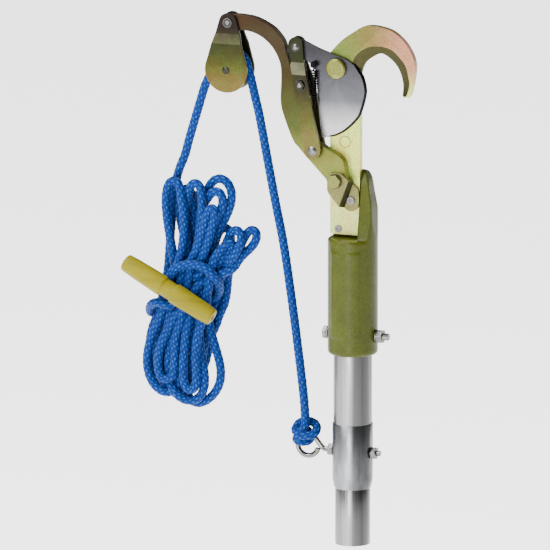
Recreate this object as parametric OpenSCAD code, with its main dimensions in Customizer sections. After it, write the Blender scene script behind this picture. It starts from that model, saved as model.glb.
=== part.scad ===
// Rope-operated pole pruner head: hook, blade, double-link lever, pulley block,
// pull rope with handle, cast pole adapter and the top of the pole.
// +Z runs up the pole, the hook opens towards +X, the front of the head faces -Y.
// The origin is the centre of the lower tube's open end.

/* [Pole] */
// Outer diameter of the upper tube
upper_d = 34.9; // [34.2:0.1:35.4]
// Outer diameter of the lower tube
lower_d = 31.8; // [31.2:0.1:32.0]
// Wall of the lower tube
lower_wall = 1.8; // [1.2:0.1:2.6]
// Height of the ferrule's top rim
ferrule_top = 111.5; // [104:0.5:118]
// Height of the ferrule's lower edge
ferrule_low = 52; // [46:1:60]

/* [Casting] */
// Outer diameter of the cast adapter's barrel
cast_d = 45.6; // [44:0.2:48]
// Height of the barrel's lower edge
cast_low = 176; // [170:1:182]
// Height of the shoulder that the shank stands on
cast_top = 283; // [280:0.5:284]

/* [Plates] */
// Thickness of the hook plate
hook_t = 6.4; // [5:0.1:6.4]
// Thickness of the blade
blade_t = 3; // [2.4:0.1:3]
// Thickness of the lever arm
lever_t = 8; // [6:0.2:8]
// Thickness of the link straps and the pivot bracket
strap_t = 3; // [2.4:0.1:3]
// Thickness of a pulley cheek
cheek_t = 2.5; // [2:0.1:2.5]

/* [Rope and pulley] */
// Diameter of the rope
rope_d = 7.8; // [6.6:0.1:8]
// Radius of the sheave to its rim
sheave_r = 19.6; // [18.4:0.1:19.8]
// Width of the sheave
sheave_w = 13.6; // [12:0.2:13.6]
// Length of the pull handle
handle_l = 97; // [90:1:104]
// Greatest diameter of the pull handle
handle_d = 19; // [17:0.5:20]

/* [Hidden] */
$fn = 64;

// ---- pivots in the XZ plane ----
P = [-13, 439];     // blade pivot
Q = [-11, 337];     // lever pivot
A = [-33, 363];     // link to lever
B = [-52, 456];     // link to blade
H = [-116, 475];    // pulley block to lever
C = [-116.5, 431.5];// sheave axle
K = [-43, 424];     // bolt through the link
S = [-34, 441.5];   // spring stud on the blade
R1 = [1, 318.5];    // bracket rivet
R2 = [-12.5, 291];  // casting rivet
R3 = [-6, 371.5];   // flush rivet in the shank
E = [-43.5, 87.5];  // centre of the eye
eye_z = 85;         // height of the eye bolt
bolt_z = 193.5;     // height of the casting bolt

// ---- depths (Y), front is negative ----
g = 0.2;                       // running gap between flat plates
y_hook = -4.2;                 // front face of the hook plate
y_hook_b = y_hook + hook_t;
y_bl = y_hook - g;             // back face of blade and lever
y_blade = y_bl - blade_t;      // front face of the blade
y_lever = y_bl - lever_t;      // front face of the lever
y_rear = y_hook;               // front face of the rear link
y_upper = y_blade - g;         // back face of the link's upper strap
y_lower = y_lever - 1.8;       // back face of the link's lower strap
y_raise = y_lower - strap_t;   // back face of the upper strap where it is raised
y_brk = y_lever - 0.3;         // back face of the raised bracket
y_mid = y_bl - lever_t/2;      // middle plane of lever, pulley and rope
y_cheek = sheave_w/2 + 0.5;    // inner face of a cheek from the middle plane
y_back = 10;                   // back face of the casting's tongue

// ---- small helpers ----
function cr(a, b, c, d, t) = 0.5*((2*b) + (c - a)*t + (2*a - 5*b + 4*c - d)*t*t + (3*b - a - 3*c + d)*t*t*t);
function at(p, i) = p[max(0, min(len(p) - 1, i))];
// open smooth curve through points
function curve(p, n = 5) = concat(
    [for (i = [0:len(p) - 2], k = [0:n - 1]) cr(at(p, i - 1), p[i], p[i + 1], at(p, i + 2), k/n)],
    [p[len(p) - 1]]);
function arc(c, r, a0, a1, n = 16) = [for (i = [0:n]) c + r*[cos(a0 + (a1 - a0)*i/n), sin(a0 + (a1 - a0)*i/n)]];
function unit(v) = v/norm(v);

// plate in the XZ plane between two depths
module plate(y0, y1) translate([0, y1, 0]) rotate([90, 0, 0]) linear_extrude(y1 - y0) children();
// cylinder along Y at an XZ point
module ypin(p, r, y0, y1) translate([p[0], y1, p[1]]) rotate([90, 0, 0]) cylinder(r = r, h = y1 - y0);
module yhex(p, af, y0, y1, a = 0) translate([p[0], y1, p[1]]) rotate([90, 0, 0]) rotate([0, 0, a]) cylinder(r = af/sqrt(3), h = y1 - y0, $fn = 6);
// cylinder along X
module xpin(y, z, r, x0, x1) translate([x0, y, z]) rotate([0, 90, 0]) cylinder(r = r, h = x1 - x0);
module xhex(y, z, af, x0, x1, a = 0) translate([x0, y, z]) rotate([0, 90, 0]) rotate([0, 0, a]) cylinder(r = af/sqrt(3), h = x1 - x0, $fn = 6);
// domed rivet head that rises from depth y towards the front (s = -1) or back (s = 1)
module dome(p, r, h, y, s) {
    big = (r*r + h*h)/(2*h);
    intersection() {
        translate([p[0], y + s*(h - big), p[1]]) sphere(r = big, $fn = 96);
        if (s < 0) ypin(p, r + 1, y - h - 1, y); else ypin(p, r + 1, y, y + h + 1);
    }
}

// tube swept along a route, rings square to the route
function ring(p, t, r, n) = let(u = unit(cross(t, [0, 1, 0])), v = cross(u, t))
    [for (k = [0:n - 1]) p + r*(cos(360*k/n)*u + sin(360*k/n)*v)];
module sweep(route, r, n = 10) {
    m = len(route);
    tan = [for (i = [0:m - 1]) unit(at(route, i + 1) - at(route, i - 1))];
    pts = [for (i = [0:m - 1]) each ring(route[i], tan[i], r, n)];
    side = [for (i = [0:m - 2], k = [0:n - 1]) let(a = i*n + k, b = i*n + (k + 1)%n) [a, b, b + n, a + n]];
    polyhedron(pts, concat([[for (k = [n - 1:-1:0]) k]], side, [[for (k = [0:n - 1]) (m - 1)*n + k]]), convexity = 4);
}

// ---- outlines ----
hook_line = concat(
    [[-20.5, 286], [-20.5, 430]],
    curve([[-22, 451], [-9.5, 464.5], [3.5, 474], [10, 478], [19, 480], [30, 479], [40, 476], [49, 469.5], [55, 462.5],
        [60, 453], [61.5, 444], [60.5, 434], [58.5, 424], [56.5, 417.5]]),
    [[55.5, 416.5], [49, 416.5], [48, 417.5]],
    curve([[48.5, 420], [49, 426], [48, 433], [45, 441], [40, 447.5], [33.5, 452.5], [27, 454.5], [19, 450.5], [13, 445.5], [9.5, 438.5], [8.3, 430]]),
    [[8.3, 320], [6, 286]]);

blade_line = concat(
    arc(B, 8.5, 250, 130, 10),
    curve([[-52, 464.6], [-44, 462], [-32, 457], [-20.5, 453], [-11.5, 450.5], [-3, 447.5], [4, 443], [12, 434.5], [15.5, 422.5], [15, 414.5],
        [11.5, 402], [7.5, 394], [-3.5, 383], [-13.5, 377], [-24, 374.5]]),
    [[-27.5, 374.5]],
    curve([[-29.5, 391], [-31.8, 416.5], [-32.6, 430], [-35, 437.5], [-41, 443.5], [-48, 446.5]]));

lever_line = concat(
    arc(H, 8, 270, 120, 10),
    curve([[-113, 482.4], [-102.5, 482.5], [-89, 480.5], [-74, 473.5], [-67, 467], [-62.6, 461], [-61.1, 456], [-60.3, 451.5], [-58.3, 446.5], [-56.8, 441.5], [-54.3, 436.5], [-52.5, 431], [-51.5, 425], [-50, 405], [-45, 388], [-36, 376], [-25.5, 369], [-17.5, 364],
        [-9.5, 360], [-4.5, 355], [-2.6, 346], [-1.2, 339]]),
    arc(Q, 9.8, 5, -140, 14),
    curve([[-21.5, 337.5], [-40.5, 356.5], [-48, 364.5], [-53.5, 371], [-61.5, 390], [-65.5, 405], [-65, 428], [-66, 440], [-70, 449.5], [-76, 457.5], [-85.5, 464.5], [-96.5, 468], [-106, 468]]));

// teardrop through two circles on one upright line
function tear(c0, r0, c1, r1) = let(d = c1[1] - c0[1], a = asin((r0 - r1)/d))
    concat(arc(c0, r0, 180 - a, 360 + a, 40), arc(c1, r1, a, 180 - a, 20));

// ---- fixed parts ----
module lower_tube() color("silver") difference() {
    union() {
        cylinder(d = lower_d, h = 50);
        // sized a touch smaller where it goes into the upper tube
        translate([0, 0, 49]) cylinder(d = lower_d - 0.6, h = 111);
    }
    translate([0, 0, -1]) cylinder(d = lower_d - 2*lower_wall, h = 170);
    xpin(0, eye_z, 2.7, -30, 30);
}

module upper_tube() color("silver") difference() {
    translate([0, 0, 56]) cylinder(d = upper_d, h = 204);
    translate([0, 0, 50]) cylinder(d = 31.4, h = 220);
    xpin(0, eye_z, 2.7, -30, 30);
    xpin(0, bolt_z, 3.3, -30, 30);
}

module ferrule_sleeve() color("gainsboro") difference() {
    rotate_extrude($fn = 96) polygon([[15.75, ferrule_low], [16.5, ferrule_low], [18.1, ferrule_low + 7], [18.35, ferrule_low + 9],
        [18.35, ferrule_top - 0.4], [18.1, ferrule_top], [upper_d/2 + 0.05, ferrule_top], [upper_d/2 + 0.05, 55.7], [15.75, 55.7]]);
    xpin(0, eye_z, 2.7, -30, 30);
}

module adapter_casting() color("olivedrab") {
    r = cast_d/2;
    difference() {
        union() {
            // barrel with rounded rims
            rotate_extrude($fn = 96) polygon(concat([[0, cast_low], [r - 3.5, cast_low]], arc([r - 3.5, cast_low + 3.5], 3.5, -80, 0, 8),
                arc([r - 2, cast_top - 2], 2, 0, 90, 6), [[0, cast_top]]));
            // plain raised panel on the front
            intersection() {
                translate([0, 0, 193]) cylinder(r = r + 0.7, h = 79, $fn = 96);
                translate([0, 0, 190]) linear_extrude(90) polygon([[0, 0], 40*[sin(-36), -cos(36)], 40*[0, -1.2], 40*[sin(36), -cos(36)]]);
            }
            // tongue and side wall behind and beside the shank
            intersection() {
                translate([0, 0, cast_top - 6]) cylinder(r = r, h = 80, $fn = 96);
                translate([-30, 0, 0]) rotate([90, 0, 90]) linear_extrude(60) polygon(concat([[-16, cast_top - 6], [-13, cast_top]],
                    curve([[-11, 291], [-8.6, 303], [-4.5, 331], [-2, 339]], 4), [[1, 344], [4, 345.5], [8, 345.5], [y_back, 343.5], [y_back, 316]],
                    curve([[12, 308], [18, 296], [r, cast_top]], 4), [[r, cast_top - 6]]));
                plate(-30, 30) polygon(concat([[-20.5, cast_top - 6], [-20.5, 338]], arc([-13.5, 338], 7, 180, 90, 6),
                    curve([[8, 345.5], [12, 344], [15.5, 338], [18, 325], [20.5, 312], [r - 0.4, 290], [r, cast_top]], 4), [[r, cast_top - 6]]));
            }
        }
        // pocket for the shank
        translate([-40, -40, cast_top]) cube([48.8, 40 + y_hook_b, 80]);
        // socket for the upper tube
        translate([0, 0, cast_low - 1]) cylinder(r = upper_d/2 + 0.05, h = 260.3 - cast_low + 1);
        xpin(0, bolt_z, 3.3, -30, 30);
        ypin(Q, 3.25, -20, 30);
        ypin(R1, 2.05, -20, 30);
        ypin(R2, 2.05, -20, 30);
    }
}

module hook_plate() color("darkkhaki") difference() {
    plate(y_hook, y_hook_b) polygon(hook_line);
    ypin(P, 4.8, -20, 20);
    ypin(Q, 3.25, -20, 20);
    ypin(R1, 2.05, -20, 20);
    ypin(R2, 2.05, -20, 20);
    ypin(R3, 5.05, -20, 20);
}

module shank_rivet() color("khaki") ypin(R3, 5, y_hook - 0.1, y_hook_b + 0.4);

module casting_rivet() color("silver") difference() {
    union() {
        ypin(R2, 2, y_hook - 1, 15);
        ypin(R2, 3.4, y_hook - 1.2, y_hook - 0.05);
    }
    ypin(R2, 1.2, y_hook - 2, y_hook - 0.6);
}

module bracket_rivet() color("silver") difference() {
    union() {
        ypin(R1, 2, y_hook - strap_t - 1, 13);
        ypin(R1, 3.7, y_hook - strap_t - 1.4, y_hook - strap_t - 0.05);
    }
    ypin(R1, 1.3, y_hook - strap_t - 2, y_hook - strap_t - 0.8);
}

module pivot_bracket() color("khaki") difference() {
    intersection() {
        plate(-30, 0) polygon(concat([[-19, 340], [-16, 344], [-5, 344], [0.5, 339], [3.5, 333], [7.8, 329.5]],
            curve([[8.5, 325], [8.5, 316], [6, 310.5], [1, 308.5], [-4, 310]], 4), [[-8, 314], [-17.5, 325], [-19, 328]]));
        // joggle: raised over the lever, flat on the shank
        translate([0.7, 0, 337]) rotate([0, 20.6, 0]) translate([0, 0, -60]) linear_extrude(120) polygon([
            [-40, y_brk - strap_t], [0.4, y_brk - strap_t], [3.4, y_hook - strap_t - 0.05], [40, y_hook - strap_t - 0.05],
            [40, y_hook - 0.05], [1.2, y_hook - 0.05], [-1.2, y_brk], [-40, y_brk]]);
    }
    ypin(Q, 3.25, -40, 20);
    ypin(R1, 2.05, -40, 20);
}

module lever_pivot_bolt() color("gold") {
    ypin(Q, 3.17, y_brk - strap_t - 1, y_back + 8.5);
    yhex(Q, 11.1, y_brk - strap_t - 4.6, y_brk - strap_t - 0.05, 15);
}

module lever_pivot_nut() color("silver") difference() {
    yhex(Q, 11.1, y_back + 0.1, y_back + 5.8, 10);
    ypin(Q, 3.22, 0, 40);
}

module blade_pivot_bolt() color("gold") {
    ypin(P, 4.75, y_blade - 1, y_hook_b + 9.5);
    dome(P, 9.4, 4, y_blade - 0.2, -1);
}

module blade_pivot_washer() color("silver") difference() {
    ypin(P, 8.5, y_hook_b + 0.05, y_hook_b + 1.6);
    ypin(P, 4.85, 0, 20);
}

module blade_pivot_nut() color("silver") difference() {
    yhex(P, 14.3, y_hook_b + 1.7, y_hook_b + 8);
    ypin(P, 4.8, 0, 20);
}

module casting_bolt() color("silver") {
    xpin(0, bolt_z, 3.17, -25, 35);
    xhex(0, bolt_z, 11.1, -cast_d/2 - 5.2, -cast_d/2 - 1.25, 12);
}

module casting_washers() color("silver") for (x = [-cast_d/2 - 1.2, cast_d/2 + 0.1]) difference() {
    xpin(0, bolt_z, 5.8, x, x + 1.1);
    xpin(0, bolt_z, 3.25, x - 1, x + 3);
}

module casting_nut() color("silver") difference() {
    xhex(0, bolt_z, 11.1, cast_d/2 + 1.3, cast_d/2 + 7, 22);
    xpin(0, bolt_z, 3.22, 0, 60);
}

module eye_bolt() color("silver") {
    // ring, open beside the shank
    translate([E[0], 0, E[1]]) rotate([90, 0, 0]) rotate([0, 0, 30]) rotate_extrude(angle = 315) translate([10, 0]) circle(r = 2.4, $fn = 32);
    // crook that joins the ring to the shank
    sweep(curve([[-34.8, 0, 92.5], [-32, 0, 89], [-29.5, 0, 86.2], [-26.5, 0, 85], [-24, 0, 85]], 3), 2.4, 12);
    xpin(0, eye_z, 2.4, -24.2, 27);
}

module eye_nuts() color("silver") for (x = [-23.4, 18.5]) difference() {
    xhex(0, eye_z, 10, x, x + 4.9, x < 0 ? 8 : 20);
    xpin(0, eye_z, 2.45, -40, 40);
}

module rope_knot() color("royalblue") {
    translate([-45, -3, 100]) rotate([0, -6, 0]) rotate_extrude($fn = 48) polygon(concat([[0, -9.5]], arc([3, 0], 9.5, -90, 90, 16), [[0, 9.5]]));
}

// ---- lever ----
module lever_arm() color("darkkhaki") difference() {
    plate(y_lever, y_bl) polygon(lever_line);
    ypin(Q, 3.22, -30, 20);
    ypin(A, 3.1, -30, 20);
    ypin(H, 3.1, -30, 20);
}

module link_lower_pin() color("silver") {
    ypin(A, 3.05, y_lower - strap_t - 1, y_rear + strap_t + 0.5);
    dome(A, 4.4, 2, y_lower - strap_t - 0.1, -1);
    dome(A, 4.6, 1.8, y_rear + strap_t + 0.15, 1);
}

// ---- link ----
link_low = concat(arc(A, 7.8, 188, 350, 14), curve([[-24.8, 365], [-28, 379], [-31.5, 394], [-34.5, 412.5], [-36.5, 427]], 3),
    arc([-42.5, 425], 6, 10, 110, 6), [[-50, 431.1]], curve([[-51.8, 427], [-47.8, 403], [-43.5, 382]], 3));

module link_front_lower() color("khaki") difference() {
    plate(y_lower - strap_t, y_lower) polygon(link_low);
    ypin(A, 3.12, -40, 20);
    ypin(K, 2.6, -40, 20);
}

module link_front_upper() color("khaki") difference() {
    intersection() {
        plate(-40, 0) polygon(concat(arc([-52, 458.5], 7, 15, 165, 14), [[-59, 455], [-55.8, 440], [-50, 430.5], [-49.4, 422], [-46.4, 411], [-45, 410]],
            [[-34.5, 412.5], [-33.8, 414], [-35.5, 424], [-37.8, 433], [-43.8, 443]]));
        translate([-40, 0, 0]) rotate([90, 0, 90]) translate([0, 0, -60]) linear_extrude(120) polygon([
            [y_upper - strap_t, 500], [y_upper - strap_t, 442.5], [y_raise - strap_t, 433], [y_raise - strap_t, 400],
            [y_raise - 0.05, 400], [y_raise - 0.05, 431.6], [y_upper, 441], [y_upper, 500]]);
    }
    ypin(B, 2.35, -40, 20);
    ypin(K, 2.6, -60, 20);
}

module link_rear() color("khaki") difference() {
    plate(y_rear, y_rear + strap_t) polygon(concat(arc(A, 7.8, 188, 350, 14), [[-25.2, 364], [-36, 424], [-43, 442]], arc([-52, 458.5], 7, 5, 175, 14), [[-59, 456], [-52, 428]]));
    ypin(A, 3.12, -40, 20);
    ypin(B, 2.35, -40, 20);
    ypin(K, 2.6, -60, 20);
}

module link_spacer() color("silver") difference() {
    ypin(K, 4.2, y_lower + 0.05, y_rear - 0.05);
    ypin(K, 2.6, -60, 20);
}

module link_bolt() color("silver") {
    ypin(K, 2.5, y_raise - strap_t - 1, y_rear + strap_t + 5);
    yhex(K, 8, y_raise - strap_t - 3.2, y_raise - strap_t - 0.1, 8);
}

module link_nut() color("silver") difference() {
    yhex(K, 8, y_rear + strap_t + 0.1, y_rear + strap_t + 3.9);
    ypin(K, 2.55, -60, 20);
}

module link_top_rivet() color("silver") {
    ypin(B, 2.3, y_upper - strap_t - 0.5, y_rear + strap_t + 0.5);
    dome(B, 3.1, 1.5, y_upper - strap_t - 0.05, -1);
    dome(B, 3.3, 1.2, y_rear + strap_t + 0.05, 1);
}

// ---- return spring ----
y_coil = (y_blade + y_lower)/2;   // axis depth of the coil
y_loop = (y_lever + y_lower)/2;   // depth of the lower loop
module return_spring() color("dimgray") {
    translate([A[0], y_loop, A[1]]) rotate([90, 0, 0]) rotate_extrude($fn = 32) translate([4.9, 0]) circle(r = 0.7, $fn = 16);
    sweep(curve([[-28.5, y_loop, 366], [-29.8, y_loop, 378], [-31.5, y_loop, 392], [-33, y_loop, 402], [-34, y_coil - 1, 408], [-34, y_coil, 411.5]], 2), 0.7, 8);
    translate([-34, y_coil, 411]) difference() {
        cylinder(r = 2.6, h = 25.4, $fn = 24);
        translate([0, 0, 1.2]) cylinder(r = 1.3, h = 23, $fn = 24);
    }
}

module spring_top_hook() color("dimgray") {
    translate([S[0], y_coil, S[1]]) rotate([90, 0, 0]) rotate([0, 0, -60]) rotate_extrude(angle = 300, $fn = 32) translate([2.6, 0]) circle(r = 0.6, $fn = 16);
    translate([-34, y_coil, 436.6]) cylinder(r = 0.6, h = 2, $fn = 16);
}

// ---- blade ----
module blade() color("lightgray") difference() {
    plate(y_blade, y_bl) polygon(blade_line);
    ypin(P, 4.82, -20, 20);
    // clearance slot for the link's top rivet
    for (z = [-3, 3]) ypin(B + [-0.4, z], 3.35, -20, 20);
    translate([B[0] - 0.4 - 3.35, -20, B[1] - 3]) cube([6.7, 40, 6]);
    ypin(S, 1.3, -20, 20);
}

module spring_stud() color("silver") {
    ypin(S, 1.25, y_coil - 1.8, y_bl - 0.1);
    ypin(S, 2.4, y_coil - 2.6, y_coil - 1.3);
}

// ---- pulley block ----
module cheek(s) {
    e = lever_t/2 + 0.3;
    difference() {
        translate([0, y_mid, 0]) intersection() {
            plate(-20, 20) polygon(tear(C, 20.6, H, 8.6));
            translate([-160, 0, 0]) rotate([90, 0, 90]) linear_extrude(80) polygon([
                [s*y_cheek, 400], [s*y_cheek, 455], [s*e, 464], [s*e, 490],
                [s*(e + cheek_t), 490], [s*(e + cheek_t), 464.8], [s*(y_cheek + cheek_t), 455.8], [s*(y_cheek + cheek_t), 400]]);
        }
        ypin(H, 3.1, -40, 20);
        ypin(C, 3.05, -40, 20);
    }
}

module cheek_front() color("darkkhaki") cheek(-1);
module cheek_rear() color("darkkhaki") cheek(1);

module sheave_axle() color("silver") {
    w = y_cheek + cheek_t;
    ypin(C, 3, y_mid - w - 0.6, y_mid + w + 0.6);
    dome(C, 3.6, 1.2, y_mid - w - 0.05, -1);
    dome(C, 3.6, 1.2, y_mid + w + 0.05, 1);
}

module hang_pin() color("silver") {
    w = lever_t/2 + 0.3 + cheek_t;
    ypin(H, 3.05, y_mid - w - 0.5, y_mid + w + 0.5);
    difference() {
        ypin(H, 4.3, y_mid - w - 1.3, y_mid - w - 0.05);
        ypin(H, 1.8, y_mid - w - 2, y_mid - w - 0.8);
    }
    dome(H, 4.3, 1.4, y_mid + w + 0.05, 1);
}

module sheave() color("black") translate([C[0], y_mid, C[1]]) rotate([90, 0, 0]) difference() {
    rotate_extrude($fn = 96) polygon(concat(
        [[4.6, -sheave_w/2], [12, -sheave_w/2], [12.5, -sheave_w/2 + 1.4], [15, -sheave_w/2 + 1.4], [15.5, -sheave_w/2], [sheave_r, -sheave_w/2], [sheave_r, -sheave_w/2 + 1.2]],
        arc([17.6, 0], 4.3, 285, 75, 16),
        [[sheave_r, sheave_w/2 - 1.2], [sheave_r, sheave_w/2], [15.5, sheave_w/2], [15, sheave_w/2 - 1.4], [12.5, sheave_w/2 - 1.4], [12, sheave_w/2], [4.6, sheave_w/2]]));
}

module sheave_bush() color("peru") translate([C[0], y_mid, C[1]]) rotate([90, 0, 0]) difference() {
    cylinder(r = 4.55, h = sheave_w + 0.2, center = true);
    cylinder(r = 3.06, h = 40, center = true);
}

// ---- rope ----
rr = rope_d/2;
leg = [[-99, y_mid, 433], [-96, y_mid, 424], [-91.5, -8, 405], [-87, -7.5, 390], [-79.5, -7, 356], [-70.5, -6, 313],
    [-61, -5.5, 269], [-52.5, -4.5, 207], [-46, -3.5, 140], [-45, -3, 112.5]];
fall = [[-134, y_mid, 430.5], [-136, y_mid, 424], [-141, -8, 414], [-147.5, -7, 394], [-155, -6, 364], [-160, -5, 346], [-163, -4, 335]];

module rope_wrap() color("royalblue") translate([C[0], y_mid, C[1]]) rotate([90, 0, 0]) rotate([0, 0, 8]) rotate_extrude(angle = 172, $fn = 96)
    translate([17.6, 0]) circle(r = rr, $fn = 32);

module rope_leg() color("royalblue") sweep(curve(leg, 2), rr, 10);
module rope_fall() color("royalblue") sweep(curve(fall, 2), rr, 10);

hank_line = concat(
    curve([[-181, 322], [-172, 332.5], [-158, 334], [-140, 335], [-122, 335], [-110, 326], [-107, 313], [-104, 298], [-92, 296], [-85.5, 288], [-87, 277], [-97, 268],
        [-108, 258], [-116, 245], [-118, 225], [-117, 200], [-116, 165], [-119, 143], [-130, 124], [-148, 111.5], [-164, 113], [-184, 120], [-199, 136], [-207, 158],
        [-205, 180], [-199, 203], [-193, 228], [-187, 252], [-184, 280], [-184, 305]], 3));

module rope_hank() color("royalblue") intersection() {
    plate(-19.5, 12.5) polygon(hank_line);
    // rounded front and back
    translate([-150, -3.5, 224]) rotate([0, 6, 0]) scale(1) rotate([0, 0, 0]) intersection() {
        translate([-75, -16, -130]) cube([150, 32, 260]);
        translate([0, 0, -130]) rotate([0, 0, 0]) linear_extrude(260) polygon(concat(
            arc([-50, -8], 8, 180, 270, 6), arc([58, -8], 8, 270, 360, 6), arc([58, 8], 8, 0, 90, 6), arc([-50, 8], 8, 90, 180, 6)));
    }
}

module pull_handle() color("darkkhaki") translate([-167.5, -30.5, 227.3]) rotate([0, 27.7, 0]) rotate([0, 90, 0]) {
    l = handle_l; d = handle_d;
    difference() {
        rotate_extrude($fn = 64) polygon(concat([[0, -l/2], [d/2 - 3.2, -l/2]], arc([d/2 - 3.4, -l/2 + 2.2], 2, -70, 0, 4),
            [[d/2 - 0.7, -l/2 + 12], [d/2, -12], [d/2, -6.5], [d/2 - 1.3, -5], [d/2 - 1.3, 5], [d/2, 6.5], [d/2, 12], [d/2 - 0.7, l/2 - 12]],
            arc([d/2 - 3.4, l/2 - 2.2], 2, 0, 70, 4), [[d/2 - 3.2, l/2], [0, l/2]]));
        translate([0, 0, l/2 - 14]) cylinder(r = 2.6, h = 20);
        translate([0, 0, -l/2 - 6]) cylinder(r = 2.6, h = 20);
    }
}

lower_tube();
upper_tube();
ferrule_sleeve();
adapter_casting();
hook_plate();
shank_rivet();
casting_rivet();
bracket_rivet();
pivot_bracket();
lever_pivot_bolt();
lever_pivot_nut();
blade_pivot_bolt();
blade_pivot_washer();
blade_pivot_nut();
casting_bolt();
casting_washers();
casting_nut();
eye_bolt();
eye_nuts();
rope_knot();
lever_arm();
link_lower_pin();
link_front_upper();
link_front_lower();
link_rear();
link_spacer();
link_bolt();
link_nut();
link_top_rivet();
return_spring();
spring_top_hook();
blade();
spring_stud();
cheek_front();
cheek_rear();
sheave_axle();
hang_pin();
sheave();
sheave_bush();
rope_wrap();
rope_fall();
rope_hank();
pull_handle();
rope_leg();
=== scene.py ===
import math
import bpy
import bmesh
import numpy as np
from mathutils import Vector, Matrix


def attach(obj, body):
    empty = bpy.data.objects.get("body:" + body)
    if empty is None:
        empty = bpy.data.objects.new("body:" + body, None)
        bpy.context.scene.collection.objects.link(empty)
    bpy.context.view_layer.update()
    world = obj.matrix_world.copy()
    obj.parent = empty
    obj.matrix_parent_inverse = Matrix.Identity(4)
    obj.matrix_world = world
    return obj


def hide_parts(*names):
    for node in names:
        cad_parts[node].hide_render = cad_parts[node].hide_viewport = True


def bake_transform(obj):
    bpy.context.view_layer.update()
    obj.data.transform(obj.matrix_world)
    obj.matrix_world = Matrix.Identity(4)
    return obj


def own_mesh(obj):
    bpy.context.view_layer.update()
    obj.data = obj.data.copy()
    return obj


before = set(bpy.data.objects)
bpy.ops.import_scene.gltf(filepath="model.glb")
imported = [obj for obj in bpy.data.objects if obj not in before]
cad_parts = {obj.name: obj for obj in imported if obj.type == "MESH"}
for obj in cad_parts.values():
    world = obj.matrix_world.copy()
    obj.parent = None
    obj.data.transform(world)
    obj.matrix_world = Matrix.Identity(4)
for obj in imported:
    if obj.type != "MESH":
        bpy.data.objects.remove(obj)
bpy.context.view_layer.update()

# ---------------------------------------------------------------- camera
sc = bpy.context.scene
AZ, EL = math.radians(22), math.radians(12)
right = Vector((math.cos(AZ), math.sin(AZ), 0))
up = Vector((-math.sin(AZ) * math.sin(EL), math.cos(AZ) * math.sin(EL), math.cos(EL)))
back = Vector((math.sin(AZ) * math.cos(EL), -math.cos(AZ) * math.cos(EL), math.sin(EL)))
cam = bpy.data.objects.new("camera", bpy.data.cameras.new("camera"))
sc.collection.objects.link(cam)
cam.data.sensor_width = 36
cam.data.lens = 288.6 * 4
cam.location = right * -0.0704 + up * 0.2428 + back * 16.0
cam.matrix_world = Matrix.LocRotScale(cam.location, Matrix((right, up, back)).transposed().to_quaternion(), None)
cam.data.clip_start, cam.data.clip_end = 0.5, 160
sc.camera = cam


# ---------------------------------------------------------------- helpers
ALB = 0.36     # the set is bright, so finishes are that much darker than the colours written


def lin(r, g, b):
    return tuple(ALB * ((c / 255) / 12.92 if c / 255 <= 0.04045 else ((c / 255 + 0.055) / 1.055) ** 2.4) for c in (r, g, b)) + (1,)


class Mat:
    """A small node builder. Coordinates are metres in the frame."""
    def __init__(self, name, rough=0.5, metal=0.0, spec=0.5, coat=0.0):
        self.m = bpy.data.materials.new(name)
        self.m.use_nodes = True
        self.t = self.m.node_tree
        self.b = self.t.nodes["Principled BSDF"]
        self.b.inputs["Roughness"].default_value = rough
        self.b.inputs["Metallic"].default_value = metal
        self.b.inputs["Specular IOR Level"].default_value = spec
        self.b.inputs["Coat Weight"].default_value = coat
        self.co = self.t.nodes.new("ShaderNodeTexCoord").outputs["Object"]

    def n(self, kind, **kw):
        nd = self.t.nodes.new(kind)
        for k, v in kw.items():
            setattr(nd, k, v)
        return nd

    def put(self, socket, v):
        if hasattr(v, "links"):
            self.t.links.new(v, socket)
        else:
            socket.default_value = v

    def mapping(self, scale=(1, 1, 1), rot=(0, 0, 0), co=None):
        nd = self.n("ShaderNodeMapping")
        nd.inputs["Scale"].default_value = scale
        nd.inputs["Rotation"].default_value = rot
        self.put(nd.inputs["Vector"], co or self.co)
        return nd.outputs[0]

    def noise(self, scale, detail=3, vec=None, rough=0.5):
        nd = self.n("ShaderNodeTexNoise")
        nd.inputs["Scale"].default_value = scale
        nd.inputs["Detail"].default_value = detail
        nd.inputs["Roughness"].default_value = rough
        self.put(nd.inputs["Vector"], vec or self.co)
        return nd.outputs["Fac"]

    def ramp(self, fac, stops):
        nd = self.n("ShaderNodeValToRGB")
        e = nd.color_ramp.elements
        while len(e) < len(stops):
            e.new(0.5)
        for el, (p, c) in zip(e, stops):
            el.position = p
            el.color = c if len(c) == 4 else tuple(c) + (1,)
        self.put(nd.inputs[0], fac)
        return nd.outputs[0]

    def mix(self, fac, a, b, mode="MIX"):
        nd = self.n("ShaderNodeMix", data_type="RGBA", blend_type=mode)
        self.put(nd.inputs[0], fac)
        self.put(nd.inputs[6], a)
        self.put(nd.inputs[7], b)
        return nd.outputs[2]

    def math(self, op, a, b=0.0, c=0.0):
        nd = self.n("ShaderNodeMath", operation=op)
        self.put(nd.inputs[0], a)
        self.put(nd.inputs[1], b)
        self.put(nd.inputs[2], c)
        return nd.outputs[0]

    def range(self, v, a, b, c=0.0, d=1.0):
        nd = self.n("ShaderNodeMapRange")
        self.put(nd.inputs[0], v)
        for i, x in enumerate((a, b, c, d)):
            nd.inputs[i + 1].default_value = x
        return nd.outputs[0]

    def xyz(self, co=None):
        nd = self.n("ShaderNodeSeparateXYZ")
        self.put(nd.inputs[0], co or self.co)
        return nd.outputs

    def bump(self, h, dist, strength=1.0, prev=None):
        nd = self.n("ShaderNodeBump")
        nd.inputs["Strength"].default_value = strength
        nd.inputs["Distance"].default_value = dist
        self.put(nd.inputs["Height"], h)
        if prev is not None:
            self.put(nd.inputs["Normal"], prev)
        self.put(self.b.inputs["Normal"], nd.outputs[0])
        return nd.outputs[0]

    def set(self, name, v):
        self.put(self.b.inputs[name], v)


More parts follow.
